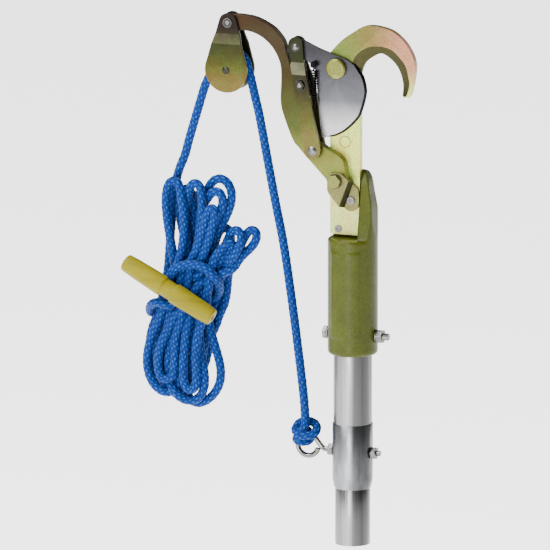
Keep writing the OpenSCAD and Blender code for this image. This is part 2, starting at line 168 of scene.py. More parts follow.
def smooth_by_angle(me, deg=35):
    """Smooth faces with sharp edges where the surface folds."""
    bm = bmesh.new()
    bm.from_mesh(me)
    lim = math.radians(deg)
    for f in bm.faces:
        f.smooth = True
    for e in bm.edges:
        e.smooth = len(e.link_faces) == 2 and e.calc_face_angle(0) < lim
    bm.to_mesh(me)
    bm.free()


def mesh(name, verts, faces, mat, smooth=True, deg=None):
    """Mesh from millimetre vertices, in the frame's place."""
    me = bpy.data.meshes.new(name)
    me.from_pydata([[c / 1000 for c in v] for v in verts], [], faces)
    me.update()
    bm = bmesh.new()
    bm.from_mesh(me)
    bmesh.ops.recalc_face_normals(bm, faces=bm.faces)
    bm.to_mesh(me)
    bm.free()
    if deg is not None:
        smooth_by_angle(me, deg)
    else:
        me.shade_smooth() if smooth else None
    o = bpy.data.objects.new(name, me)
    sc.collection.objects.link(o)
    for m in (mat if isinstance(mat, (list, tuple)) else [mat]):
        me.materials.append(m.m)
    return o


def crp(a, b, c, d, t):
    return 0.5 * ((2 * b) + (c - a) * t + (2 * a - 5 * b + 4 * c - d) * t * t + (3 * b - a - 3 * c + d) * t ** 3)


def curve(p, n=5):
    p = np.array(p, float)
    at = lambda i: p[max(0, min(len(p) - 1, i))]
    out = [crp(at(i - 1), p[i], p[i + 1], at(i + 2), k / n) for i in range(len(p) - 1) for k in range(n)]
    return np.array(out + [p[-1]])


def arc(c, r, a0, a1, n=16):
    t = np.radians(a0 + (a1 - a0) * np.arange(n + 1) / n)
    return np.stack([c[0] + r * np.cos(t), c[1] + r * np.sin(t)], 1)


def resample(p, step=None, n=None):
    p = np.array(p, float)
    s = np.concatenate([[0], np.cumsum(np.linalg.norm(np.diff(p, axis=0), axis=1))])
    n = n or max(2, int(round(s[-1] / step)) + 1)
    q = np.linspace(0, s[-1], n)
    return np.stack([np.interp(q, s, p[:, i]) for i in range(p.shape[1])], 1)


def length(p):
    return float(np.linalg.norm(np.diff(np.array(p), axis=0), axis=1).sum())


def frames(p):
    """Rotation-minimising frames along a path."""
    t = np.gradient(p, axis=0)
    t /= np.linalg.norm(t, axis=1)[:, None]
    u = np.cross(t[0], [0, 1, 0.001])
    u /= np.linalg.norm(u)
    us = []
    for i in range(len(p)):
        u = u - t[i] * (u @ t[i])
        u /= np.linalg.norm(u)
        us.append(u.copy())
    us = np.array(us)
    return t, us, np.cross(t, us)


PITCH = 4.7   # rope stitch length, mm
COLS = 8      # stitch columns round the rope


def rope(name, path, d, mat, sides=28, close=True):
    """Solid braid rope: stitches in columns, each one a slanted bead, from a millimetre path."""
    p = resample(path, PITCH / 5)
    t, u, w = frames(p)
    m = len(p)
    s = np.concatenate([[0], np.cumsum(np.linalg.norm(np.diff(p, axis=0), axis=1))])
    verts, shade_highlight = [], []
    for i in range(m):
        a = 2 * np.pi * np.arange(sides) / sides
        col = COLS * a / (2 * np.pi) + s[i] / PITCH * 0.5
        fr = col - np.floor(col)
        par = np.floor(col).astype(int) % COLS
        ph = s[i] / PITCH + 0.5 * (par % 2) + (fr - 0.5) * np.where(par % 2, 0.45, -0.45)
        bead = np.abs(np.cos(np.pi * ph)) ** 0.55
        side = np.sin(np.pi * fr) ** 0.5
        h = bead * side
        r = d / 2 * (0.95 + 0.13 * h)
        verts.append(p[i] + r[:, None] * (np.cos(a)[:, None] * u[i] + np.sin(a)[:, None] * w[i]))
        # Painted light on the stitches: the first channel is the bead height, for painted shade in the valleys; the
        # second, its square, for a painted highlight on the crowns
        shade_highlight.append(np.stack([h, h * h * np.where((par + np.floor(ph)) % 2 == 0, 1.0, 0.86)], 1))
    verts = np.concatenate(verts)
    shade_highlight = np.concatenate(shade_highlight)
    faces = []
    for i in range(m - 1):
        for k in range(sides):
            a, b = i * sides + k, i * sides + (k + 1) % sides
            faces.append((a, b, b + sides, a + sides))
    if close:
        for e, ring_, dirn in ((0, 0, -1), (m - 1, (m - 1) * sides, 1)):
            c = len(verts)
            verts = np.concatenate([verts, [p[e] + dirn * t[e] * d * 0.12]])
            shade_highlight = np.concatenate([shade_highlight, [[0.5, 0.2]]])
            for k in range(sides):
                faces.append((c, ring_ + k, ring_ + (k + 1) % sides) if dirn > 0 else (c, ring_ + (k + 1) % sides, ring_ + k))
    o = mesh(name, verts, faces, mat)
    at = o.data.attributes.new("stitch", "FLOAT_COLOR", "POINT")
    at.data.foreach_set("color", np.concatenate([shade_highlight, np.zeros_like(shade_highlight)], 1).astype(np.float32).ravel())
    return o, (p / 1000).tolist()


def tube(name, path, r, mat, sides=16, step=1.0, close=True):
    p = resample(path, step)
    t, u, w = frames(p)
    a = 2 * np.pi * np.arange(sides) / sides
    verts = np.concatenate([p[i] + r * (np.cos(a)[:, None] * u[i] + np.sin(a)[:, None] * w[i]) for i in range(len(p))])
    faces = [(i * sides + k, i * sides + (k + 1) % sides, (i + 1) * sides + (k + 1) % sides, (i + 1) * sides + k)
             for i in range(len(p) - 1) for k in range(sides)]
    if close:
        faces += [tuple(range(sides))[::-1], tuple(range((len(p) - 1) * sides, len(p) * sides))]
    return mesh(name, verts, faces, mat, deg=60)


# ---------------------------------------------------------------- materials
PAL = {
    # zh_, zl_, zd_ and zc_ stops: painted reflection and shade on the zinc plates, light low, darker towards the top
    "zh_low": (292, 302, 189), "zh_up": (309, 317, 166), "zh_left": (150, 176, 79), "zh_top": (179, 151, 83), "zh_right": (268, 191, 155),
    # hb: painted shade for the hook's ground bevel
    "hb": (83, 79, 28),
    "zl_top": (79, 51, 10), "zl_bend": (85, 68, 37), "zl_mid": (81, 66, 6), "zl_low": (109, 121, 51), "zl_hub": (177, 181, 82),
    "zd_up": (48, 52, 4), "zd_raised": (68, 59, 18), "zd_low": (120, 121, 49), "zd_bot": (155, 143, 75),
    "zc_top": (43, 22, 4), "zc_mid": (77, 85, 12), "zc_side": (109, 116, 33), "zc_low": (160, 135, 68),
    "zb_head": (183, 187, 95), "zb_brk": (176, 173, 108),
    "gp": (98, 106, 17), "al": (240, 239, 240), "fe": (238, 240, 244),
    # bs_ stops: painted reflection on the blade, light low, dark towards the upper left
    "bs_low": (304, 299, 303), "bs_mid": (163, 164, 171), "bs_left": (119, 118, 125), "bs_ul": (88, 86, 90),
    # rope colours: the first is painted shade in the valleys between stitches, the third a painted highlight on their
    # crowns
    "wd": (182, 168, 21), "rope_valley_shade": (6, 16, 100), "rope_body": (0, 80, 186), "rope_crown_highlight": (84, 168, 240), "bz": (180, 180, 178),
}


def pal(k, f=1.0):
    c = lin(*PAL[k])
    return (c[0] * f, c[1] * f, c[2] * f, 1)


def zinc(name, stops, axis=2, low=0.30, high=0.47, rough=0.34, mott=0.5, arch=None):
    """Yellow zinc plate: olive and straw, with a green and pink bloom. stops run along one axis; where they change they
    are painted reflection and shade of the set. arch adds a ramp across the hook: the zinc's green and pink tint with
    painted reflection.
    """
    m = Mat(name, rough=rough, metal=0.75)
    xyz = m.xyz()
    col = m.ramp(m.range(xyz[axis], low, high), [(a, pal(b)) for a, b in stops])
    if arch:
        col = m.mix(m.range(xyz[2], 0.415, 0.442), col, m.ramp(m.range(xyz[0], -0.02, 0.062), [(a, pal(b)) for a, b in arch]))
    bloom = m.noise(70, 5, rough=0.65)
    col = m.mix(m.math("MULTIPLY", m.range(bloom, 0.35, 0.62), 0.75 * mott), col, m.mix(1.0, col, (0.7, 0.96, 0.5, 1), "MULTIPLY"))
    pink = m.noise(90, 4, m.mapping((1, 1, 0.8), (0.3, 0.2, 0.6)))
    col = m.mix(m.math("MULTIPLY", m.range(pink, 0.47, 0.6), 1.0 * mott), col, m.mix(1.0, col, (1.0, 0.72, 0.66, 1), "MULTIPLY"))
    speck = m.noise(1300, 2)
    col = m.mix(m.math("MULTIPLY", m.range(speck, 0.42, 0.7), 0.6), col, m.mix(1.0, col, (0.3, 0.29, 0.2, 1), "MULTIPLY"))
    m.set("Base Color", col)
    m.set("Roughness", m.range(m.noise(120, 4), 0.3, 0.7, rough - 0.06, rough + 0.12))
    brush = m.noise(700, 2, m.mapping((1, 1, 0.25)))
    m.bump(m.math("ADD", brush, m.math("MULTIPLY", m.noise(180, 3), 1.5)), 0.0001, 0.6)
    return m


# ZH, ZL, ZD and ZC: ramps over height and across the hook arch are painted reflection and shade; ZB and ZK have one
# colour
ZH = zinc("yellow_zinc", [(0.0, "zh_low"), (0.55, "zh_up"), (1.0, "zh_up")], low=0.30, high=0.40, arch=[(0.1, "zh_left"), (0.5, "zh_top"), (0.85, "zh_right")])
ZL = zinc("yellow_zinc_lever", [(0.09, "zl_hub"), (0.32, "zl_low"), (0.64, "zl_mid"), (0.9, "zl_bend"), (1.0, "zl_top")], low=0.34, high=0.48)
ZD = zinc("yellow_zinc_links", [(0.2, "zd_bot"), (0.31, "zd_low"), (0.58, "zd_raised"), (0.9, "zd_up")], low=0.355, high=0.465, mott=0.6)
ZC = zinc("yellow_zinc_cheek", [(0.12, "zc_low"), (0.33, "zc_side"), (0.5, "zc_mid"), (0.82, "zc_top")], low=0.41, high=0.484, mott=0.8)
ZB = zinc("yellow_zinc_head", [(0.0, "zb_head"), (1.0, "zb_head")], rough=0.28, mott=0.2)
ZK = zinc("yellow_zinc_bracket", [(0.0, "zb_brk"), (1.0, "zb_brk")], mott=0.4)
# Painted shadow: a near-black strip along the bracket's joggle, where the raised part shades the gap
_kx, _ky, _kz = ZK.xyz()
_ks = ZK.math("SUBTRACT", ZK.math("MULTIPLY", ZK.math("SUBTRACT", _kx, 0.0007), 0.936), ZK.math("MULTIPLY", ZK.math("SUBTRACT", _kz, 0.337), 0.3518))
_k_gap_shadow = ZK.math("MULTIPLY", ZK.range(_ks, 0.0006, 0.0009), ZK.range(_ks, 0.0036, 0.0031))
_kcol = ZK.b.inputs["Base Color"].links[0].from_socket
ZK.set("Base Color", ZK.mix(ZK.math("MULTIPLY", _k_gap_shadow, 0.85), _kcol, (0.02, 0.018, 0.008, 1)))


def bright(name, c, rough=0.36):
    m = Mat(name, rough=rough, metal=1.0)
    col = m.mix(m.range(m.noise(220, 3), 0.35, 0.7), pal(c), pal(c, 0.65))
    m.set("Base Color", col)
    m.set("Roughness", m.range(m.noise(300, 3), 0.3, 0.7, rough - 0.06, rough + 0.12))
    m.bump(m.noise(900, 2), 0.00003, 0.5)
    return m


BZ = bright("bright_zinc", "bz")
BZL = bright("bright_zinc_eye", "bz", 0.16)
# bzd: a darker copy of the bright zinc, painted shade on the link bolt head, the spacer between the links and the
# sheave axle
PAL["bzd"] = (84, 82, 70)
BZD = bright("bright_zinc_painted_shade", "bzd")

AL = Mat("mill_aluminium", rough=0.3, metal=1.0)
_streak = AL.noise(60, 4, AL.mapping((14, 14, 0.15)), 0.6)
AL.set("Base Color", AL.mix(AL.range(_streak, 0.3, 0.7), pal("al"), pal("al", 0.7)))
AL.set("Roughness", AL.range(AL.noise(90, 3, AL.mapping((10, 10, 0.2))), 0.3, 0.7, 0.22, 0.38))
AL.set("Anisotropic", 0.4)
AL.bump(AL.noise(130, 3, AL.mapping((14, 14, 0.1))), 0.00004, 0.5)



def paint_reflection_band(m, stops):
    """Painted reflection round a tube: the base colour is darkened in bands by angle round it, lightest near the front.
    """
    x, y, z = m.xyz()
    ang = m.math("ARCTAN2", x, m.math("MULTIPLY", y, -1.0))
    fac = m.range(ang, -math.pi, math.pi)
    painted_tone = m.ramp(fac, [((d_ + 180) / 360, (t_, t_, t_, 1)) for d_, t_ in stops])
    old = m.b.inputs["Base Color"].links[0].from_socket
    m.set("Base Color", m.mix(1.0, old, painted_tone, "MULTIPLY"))


# Painted reflection: brightness by angle round the tube
PAINTED_REFLECTION_BANDS = [(-170, 0.5), (-110, 0.32), (-68, 0.5), (-20, 0.72), (0, 1.0), (10, 0.96), (24, 0.34), (52, 0.2), (74, 0.3), (104, 0.62), (150, 0.4), (180, 0.5)]
paint_reflection_band(AL, PAINTED_REFLECTION_BANDS)
FE = Mat("mill_aluminium_ferrule", rough=0.34, metal=1.0)
FE.set("Base Color", FE.mix(FE.range(FE.noise(200, 3, FE.mapping((1, 1, 0.3))), 0.35, 0.7), pal("fe"), pal("fe", 0.65)))
paint_reflection_band(FE, PAINTED_REFLECTION_BANDS)
FE.bump(FE.noise(420, 3), 0.00005, 0.5)

GP = Mat("green_paint", rough=0.36, spec=0.14, coat=0.03)
GP.b.inputs["Coat Roughness"].default_value = 0.18
_cast = GP.mix(GP.range(GP.noise(60, 4), 0.35, 0.7), pal("gp", 1.08), pal("gp", 0.84))
GP.set("Base Color", GP.mix(GP.math("MULTIPLY", GP.range(GP.noise(420, 3, rough=0.7), 0.42, 0.66), 0.45), _cast, pal("gp", 0.45)))
GP.bump(GP.noise(300, 4, rough=0.7), 0.0005, 0.6)

BS = Mat("polished_steel", rough=0.26, metal=1.0)
_x, _y, _z = BS.xyz()
# Painted reflection: a fan of painted sheen round the pivot over a colour ramp by height, light low, dark upper left
_ang = BS.math("ARCTAN2", BS.math("SUBTRACT", _z, 0.430), BS.math("ADD", _x, 0.013))
_painted_fan_sheen = BS.noise(1.0, 3, None)
_comb = BS.n("ShaderNodeCombineXYZ")
BS.put(_comb.inputs[0], BS.math("MULTIPLY", _ang, 0.55))
_rad = BS.math("POWER", BS.math("ADD", BS.math("POWER", BS.math("ADD", _x, 0.013), 2.0), BS.math("POWER", BS.math("SUBTRACT", _z, 0.430), 2.0)), 0.5)
BS.put(_comb.inputs[1], BS.math("MULTIPLY", _rad, 6.0))
_painted_fan_sheen = BS.noise(2.0, 3, _comb.outputs[0])
_hgt = BS.range(_z, 0.385, 0.455)
_painted_reflection_ramp = BS.ramp(_hgt, [(0.0, pal("bs_low")), (0.35, pal("bs_mid")), (0.68, pal("bs_left")), (1.0, pal("bs_ul"))])
BS.set("Base Color", BS.mix(BS.range(_painted_fan_sheen, 0.35, 0.65), _painted_reflection_ramp, BS.mix(1.0, _painted_reflection_ramp, (0.75, 0.75, 0.75, 1), "MULTIPLY")))
_grind = BS.noise(900, 2, BS.mapping((1, 1, 0.05), (0, 0.5, 0)))
BS.set("Roughness", BS.range(_grind, 0.3, 0.7, 0.26, 0.32))
BS.bump(_grind, 0.000006, 0.4)

# The ground bevel of the cutting edge is near-black: a painted dark reflection on polished steel
EDGE = Mat("polished_steel_edge_painted_dark", rough=0.35, metal=1.0)
EDGE.set("Base Color", EDGE.mix(EDGE.noise(300, 2), (0.006, 0.006, 0.007, 1), (0.014, 0.014, 0.015, 1)))
# Hook bevel: a darker copy of the zinc, painted shade on the slanted faces
HB = zinc("yellow_zinc_bevel_painted_shade", [(0.0, "hb"), (1.0, "hb")], mott=0.5)

BK = Mat("black_spring", rough=0.6, spec=0.04)
BK.set("Base Color", BK.mix(BK.noise(300, 2), (0.002, 0.002, 0.0022, 1), (0.006, 0.006, 0.0065, 1)))
NY = Mat("black_nylon", rough=0.5, spec=0.2)
NY.set("Base Color", NY.mix(NY.noise(120, 3), (0.004, 0.004, 0.004, 1), (0.009, 0.009, 0.009, 1)))
NY.bump(NY.noise(500, 3), 0.00005, 0.6)
BRZ = Mat("bronze", rough=0.4, metal=1.0)
BRZ.set("Base Color", BRZ.mix(BRZ.noise(200, 3), lin(150, 110, 70), lin(120, 84, 50)))

RP = Mat("blue_rope", rough=0.62, spec=0.08)
_at = RP.n("ShaderNodeAttribute", attribute_name="stitch")
_sep = RP.n("ShaderNodeSeparateColor")
RP.put(_sep.inputs[0], _at.outputs["Color"])
# Painted shade in the valleys between stitches and a painted highlight on their crowns
_valley_shade = RP.mix(RP.range(_sep.outputs[0], 0.1, 0.7), pal("rope_valley_shade"), pal("rope_body"))
_crown_highlight = RP.mix(RP.range(_sep.outputs[1], 0.55, 0.92), _valley_shade, pal("rope_crown_highlight"))
RP.set("Base Color", RP.mix(RP.range(RP.noise(60, 3), 0.4, 0.65, 0, 0.35), _crown_highlight, pal("rope_body", 0.55)))
RP.set("Sheen Weight", 0.05)
RP.b.inputs["Sheen Roughness"].default_value = 0.4
RP.bump(RP.noise(2600, 2), 0.00012, 0.5)

WD = Mat("olive_wood", rough=0.42, spec=0.12, coat=0.0)
_grain = WD.noise(9, 6, WD.mapping((1.2, 14, 14), (0, 0.4835, 0)), 0.65)
WD.set("Base Color", WD.ramp(_grain, [(0.25, pal("wd", 0.7)), (0.5, pal("wd")), (0.75, pal("wd", 1.15))]))
WD.bump(WD.noise(30, 5, WD.mapping((1.2, 14, 14), (0, 0.4835, 0)), 0.6), 0.0001, 0.4)

# ---------------------------------------------------------------- cords
D = 7.8
leg = [[-99, -8.4, 433], [-96, -8.4, 424], [-91.5, -8, 405], [-88, -7.5, 390], [-81.5, -7, 356], [-73.4, -6, 313],
       [-64.6, -5.5, 269], [-55.6, -4.5, 207], [-47.2, -3.5, 140], [-45, -3, 112.5]]
leg_o, leg_p = rope("rope_leg_cord", curve(leg, 8), D, RP)
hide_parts("rope_leg")
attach(leg_o, "rope_leg")
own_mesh(leg_o)

# loops of the hank, listed as percentages of the CAD hank's box
W = [(34.4, 39, 98.9), (29, 61, 92.1), (26.6, 61, 81.8), (24.3, 61, 69), (22.7, 61, 56.5), (18, 61, 45.1), (11, 61, 32.7), (8.6, 61, 20.9), (13.3, 61, 12), (22.7, 61, 9.1), (29.8, 61, 14.4), (30.6, 61, 26.5), (29.8, 61, 40), (32, 39, 51.5), (31.2, 17, 64.2), (27.3, 17, 75.4), (25.3, 17, 84.7), (26.5, 17, 91.9), (32, 17, 95.2), (37.4, 17, 92.4), (39.8, 17, 85.3), (40.6, 17, 74.3), (39, 17, 61.6), (35.1, 17, 50.2), (23.3, 17, 39.7), (13.2, 17, 29.8), (10, 17, 19.7), (14.7, 17, 11.6), (24.9, 17, 8.3), (34.3, 17, 10), (37.4, 17, 18.5), (38.2, 17, 31), (40.6, 17, 44.4), (40.6, 39, 54.6), (42.1, 17, 66.8), (38.3, 39, 77.9), (41.3, 17, 88), (46, 17, 94.1), (52.3, 17, 94), (55.4, 17, 87.7), (53.9, 17, 77.9), (49.2, 17, 67.1), (44.5, 17, 55.4), (33.5, 17, 42.9), (22.6, 39, 31.3), (18.7, 39, 20.3), (22.6, 39, 11.4), (32.8, 39, 7.2), (41.4, 39, 11.8), (42.2, 39, 24.7), (43.8, 39, 38.8), (46.9, 39, 50.9), (40, 61, 63.3), (32.9, 61, 75.7), (30.6, 61, 84.9), (35.3, 61, 90.7), (41.5, 61, 89.2), (43.1, 61, 80.4), (41.5, 61, 67.6), (38.4, 61, 56.3), (36, 39, 43.6), (30.4, 17, 31.9), (27.3, 17, 20.5), (30.4, 17, 10.7), (39.8, 17, 6.1), (50, 17, 6.1), (56.2, 17, 11), (56.2, 17, 17.2), (51.5, 17, 26.6), (50, 17, 38.8), (50, 39, 50.2), (53.2, 39, 63.3), (50.1, 61, 73.5), (50.9, 61, 84.6), (57.1, 39, 92.7), (64.9, 39, 96.5), (73.5, 39, 93.9), (75.9, 39, 87.6), (69.6, 39, 79.3), (59.4, 39, 69.9), (52.4, 39, 59.1), (44.6, 61, 45.4), (40, 61, 33.1), (34.5, 61, 20.4), (34.5, 61, 9.6), (45.3, 39, 4.1), (56.3, 39, 6.2), (64.9, 39, 11.6), (67.3, 39, 18.3), (62.6, 39, 27.3), (56.3, 39, 37.7), (52.5, 61, 48.9), (51.7, 61, 60.9), (50.8, 39, 72.5), (50, 39, 81.8), (57.8, 17, 88.3), (63.3, 17, 91.7), (69.5, 17, 90.9), (71.1, 17, 86.8), (64.8, 17, 79.7), (56.2, 17, 69.1), (50.7, 17, 58.1), (37.7, 83, 43.7), (26.7, 83, 31.1), (18.9, 83, 19.9), (20.5, 83, 10), (29.9, 83, 6.7), (39.3, 83, 11.7), (43.9, 83, 24.4), (48.6, 83, 37.8), (53.3, 83, 49.2), (54.9, 83, 60.4), (58.7, 61, 68), (61.9, 61, 73.6), (67.3, 61, 76.4), (72.8, 61, 74.1), (71.3, 61, 68.5), (64.2, 61, 62.7), (57.2, 61, 55.9), (45.5, 83, 42.9), (36.7, 92, 30), (27.3, 92, 18.4), (30.5, 92, 9.4), (39.8, 92, 8.1), (47.1, 83, 17), (51.8, 83, 31), (54.9, 83, 45.3), (64.1, 39, 59.6), (68.8, 39, 67.4), (73.5, 39, 73.5), (81.3, 17, 77), (86, 17, 74.3), (83.6, 17, 69.5), (75.8, 17, 64.9), (67.2, 17, 59.6), (49.4, 83, 45), (39.8, 92, 34.3), (33.6, 92, 23.6), (36.7, 92, 14.6), (44.5, 92, 14.2), (50.8, 92, 23.6), (53.9, 92, 37), (58, 83, 49.4), (68.1, 61, 58.4), (78.2, 39, 65.3), (83.7, 39, 71.4), (87.6, 39, 75.9), (93.1, 39, 77.2), (95.8, 39, 74.1), (92.3, 39, 69.7), (83.7, 39, 65.9), (75.8, 17, 63.2), (67.2, 17, 58.8), (50.6, 3, 50.4), (35, 3, 39.4), (23.2, 3, 29), (20.1, 3, 19.7), (25.6, 3, 12.9), (33.4, 3, 14.9), (34.2, 3, 25.4), (38.9, 3, 41.1), (45.9, 3, 52.6), (51.4, 3, 64.2), (56.1, 3, 75.5), (59.2, 3, 82), (62.4, 3, 85.3), (65.9, 3, 85.7), (66.3, 3, 82.3), (60.8, 3, 73.1), (52.2, 3, 60.9), (29, 61, 44.7), (16.5, 61, 35.4), (12.2, 61, 25.2), (13.3, 61, 16.1), (21.2, 61, 10.3), (28.2, 61, 15.1), (31.3, 61, 28.6), (41.3, 17, 45.3), (42.8, 3, 34.9), (40.5, 3, 23.1), (40.5, 3, 14), (45.9, 3, 9.7), (51.4, 3, 13.2), (50.6, 3, 26.1), (53, 3, 40.1), (58.5, 3, 51.6), (64.8, 17, 60.3), (71.1, 17, 67.7), (75, 17, 71.2), (78.5, 17, 72.3), (79.3, 17, 69.7), (74.2, 17, 65.3), (64.8, 17, 58.3), (46.2, 61, 47.5), (34.6, 83, 32.3), (26.7, 83, 19.4), (29.9, 83, 12.1), (36.1, 83, 15.7), (39.3, 83, 30.4), (41.6, 83, 46.7), (39.3, 83, 61.4), (36.1, 83, 75.2), (39.3, 83, 86.8), (43.2, 83, 87.8), (44.7, 83, 79.9), (47.9, 83, 65.2), (54.9, 83, 54), (55.5, 92, 48.2), (36.7, 92, 43), (15.6, 92, 39.7), (8.9, 73, 38.3), (10.8, 36, 41), (15.6, 5, 44.1), (22.7, -14, 45.7), (29.3, -17, 44.9), (33.4, -5, 44.3), (33.7, 0, 47.8), (30.9, -3, 52.2), (31.3, -11, 56), (36.5, -19, 59.8), (45.2, -20, 61.9), (54.6, -20, 62.1), (62.1, -17, 60.3), (66.3, -5, 57.3), (66.9, 23, 53.4), (62.5, 55, 48.7), (49.9, 86, 44.2)]
HLO, HHI = np.array([-209, -19.5, 107.5]), np.array([-84, 12.5, 339.5])
body = HLO + (HHI - HLO) * np.array(W, float) / 100
# tie: over the handle and round the waist
C0 = [-116.5, 431.5]
wa = np.radians(np.arange(2, 181, 4))
wrap = np.stack([C0[0] + 17.6 * np.cos(wa), np.full(len(wa), -8.4), C0[1] + 17.6 * np.sin(wa)], 1)
fall = [[-134, -8.4, 430.5], [-136, -8.4, 424], [-141, -8, 414], [-147.5, -7, 394], [-157, -6, 364], [-162.3, -5, 346]]
HANK0 = None


def relax(p, fixed, lo, hi, d, steps):
    """Push the strands of a hank apart to a rope's width and keep each close to where it was laid."""
    home = p.copy()
    n = len(p)
    rest = np.linalg.norm(np.diff(p, axis=0), axis=1).mean()
    idx = np.arange(n)
    skip = int(2.2 * d / rest)
    for it in range(steps):
        p[~fixed] += (home[~fixed] - p[~fixed]) * np.array([0.02, 0.004, 0.02])
        sm = p.copy()
        sm[1:-1] = p[1:-1] * 0.9 + (p[:-2] + p[2:]) * 0.05
        p[~fixed] = sm[~fixed]
        for _ in range(2):
            dv = p[:, None, :] - p[None, :, :]
            ds = np.sqrt((dv ** 2).sum(2)) + 1e-9
            near = (ds < d * 0.98) & (np.abs(idx[:, None] - idx[None, :]) > skip)
            amt = np.where(near, (d * 0.98 - ds) * 0.5 / ds, 0.0)
            cnt = np.maximum(1, near.sum(1))
            push = (dv * amt[:, :, None]).sum(1) / np.sqrt(cnt)[:, None]
            p[~fixed] += push[~fixed] * 0.8
        p[~fixed] = np.clip(p[~fixed], lo, hi)
        seg = np.diff(p, axis=0)
        L = np.linalg.norm(seg, axis=1)
        corr = seg * ((L - rest) / L * 0.25)[:, None]
        q = p.copy()
        q[:-1] += corr
        q[1:] -= corr
        p[~fixed] = q[~fixed]
    return p


raw = resample(curve(np.concatenate([fall, body]), 6), 4.2)
nfall = int((raw[:, 2] > 338).argmin())
tie = resample(curve(body[-17:], 6), 4.2)
fixed = np.zeros(len(raw), bool)
fixed[:nfall] = True
fixed[-len(tie):] = True
m_in = D / 2 + 0.2
hank = relax(raw.copy(), fixed, HLO + np.array([m_in, 0.5, m_in - 3]), HHI - m_in + np.array([0, 0, 4.5]), D, 140)
sm = hank.copy()
for _ in range(2):
    sm[1:-1] = sm[1:-1] * 0.6 + (sm[:-2] + sm[2:]) * 0.2
hank = sm
allp = np.concatenate([wrap, curve(hank, 4)[2:]])
cord_o, cord_p = rope("rope_hank_cord", allp, D, RP)
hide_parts("rope_wrap", "rope_fall", "rope_hank")
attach(cord_o, "block")

# knot at the eye
kn = curve([[-45, -3, 113], [-45, -4, 106.5], [-47, -6.5, 101.5], [-52, -5.5, 99.5], [-55.5, -0.5, 101.5], [-53, 4.5, 106.5], [-46, 6, 108], [-38.5, 4.5, 106.5],
            [-35, 0, 102.5], [-37, -5, 98.5], [-43, -7.5, 97.5], [-49, -7.8, 96.8], [-52.5, -6.5, 93.3], [-49.5, -4.5, 91], [-45, 0, 90.4], [-43.5, 4.5, 92], [-45, 7, 97],
            [-49, 5, 102], [-47, 2.5, 104.5]], 6)
kn_o, kn_p = rope("rope_knot_piece", kn, 7.6, RP)
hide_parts("rope_knot")
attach(kn_o, "pole")

print("cord lengths", length(leg_p), length(cord_p), length(kn_p))


# ---------------------------------------------------------------- spring
def helix(x, y, z0, z1, r, wire, turns, lead=None, tail=None, n=18):
    k = int(turns * n)
    a = 2 * np.pi * np.arange(k + 1) / n
    h = np.stack([x + r * np.cos(a), y + r * np.sin(a), z0 + (z1 - z0) * np.arange(k + 1) / k], 1)
    parts = [np.array(lead)] if lead is not None else []
    parts.append(h)
    if tail is not None:
        parts.append(np.array(tail))
    return np.concatenate(parts)


yl = -13.3
loop = [[-33 + 4.9 * math.cos(math.radians(a)), yl, 363 + 4.9 * math.sin(math.radians(a))] for a in range(-250, 41, 15)]
lead = curve(loop + [[-28.6, yl, 370], [-29.8, yl, 378], [-31.5, yl, 392], [-32.4, yl + 0.4, 402], [-31.6, -12.2, 408]], 3)
hel = helix(-34, -10.8, 411.2, 435.8, 2.35, 0.85, 11.5, lead=lead)
sp = tube("spring_wire", hel, 0.8, BK, sides=10, step=0.55)
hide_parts("return_spring")
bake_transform(sp)

# ---------------------------------------------------------------- hook plate with ground bevel
def strip_plate(name, front, backl, y0, y1, extra, mats, edge_y):
    """Plate between two depths. front and backl are closed outlines with equal counts: where they differ, a bevel runs between them."""
    n = len(front)
    v = [(p[0], y0, p[1]) for p in front] + [(p[0], edge_y, p[1]) for p in backl] + [(p[0], y1, p[1]) for p in backl]
    f = [tuple(range(n)), tuple(range(2 * n, 3 * n))]
    f += [(i, (i + 1) % n, n + (i + 1) % n, n + i) for i in range(n)]
    f += [(n + i, n + (i + 1) % n, 2 * n + (i + 1) % n, 2 * n + i) for i in range(n)]
    o = mesh(name, v, f, mats, deg=30)
    slanted = [i for i in range(n) if np.linalg.norm(front[i] - backl[i]) > 0.4 or np.linalg.norm(front[(i + 1) % n] - backl[(i + 1) % n]) > 0.4]
    pick = set(slanted)
    for i in range(n):
        if i in pick:
            o.data.polygons[2 + i].material_index = 1
    return o


outer = np.concatenate([[[-20.5, 286], [-20.5, 340], [-20.5, 400], [-20.5, 430]],
    curve([[-22, 451], [-9.5, 464.5], [3.5, 474], [10, 478], [19, 480], [30, 479], [40, 476], [49, 469.5], [55, 462.5], [60, 453], [61.5, 444], [60.5, 434], [58.5, 424], [56.5, 417.5]], 6),
    [[55.5, 416.5], [49.3, 416.5]]])
mouth = curve([[48.2, 417.6], [48.6, 420], [49, 426], [48, 433], [45, 441], [40, 447.5], [33.5, 452.5], [27, 454.5], [19, 450.5], [13, 445.5], [9.5, 438.5], [8.3, 430]], 8)
bev = curve([[53.4, 417.6], [55.6, 424], [56.3, 430], [55, 437], [52.5, 445.5], [46.5, 453], [39.5, 459], [30.5, 461.5], [20, 461], [13, 458.5], [6, 453.5], [2, 447.5], [1.5, 441], [7.9, 430]], 8)
K = 72
mouth, bev = resample(mouth, n=K), resample(bev, n=K)
shank = np.array([[8.3, 420], [8.3, 380], [8.3, 340], [8.3, 320], [6, 286]])
back_line = np.concatenate([outer, mouth, shank])
front_line = np.concatenate([outer, bev, shank])
hk = strip_plate("hook_plate_ground", front_line, back_line, -4.2, 2.2, None, [ZH, HB], -0.6)
bv = hk.modifiers.new("bevel", "BEVEL")
bv.width, bv.segments, bv.limit_method, bv.angle_limit = 0.0004, 2, "ANGLE", math.radians(50)
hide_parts("hook_plate")
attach(hk, "pole")

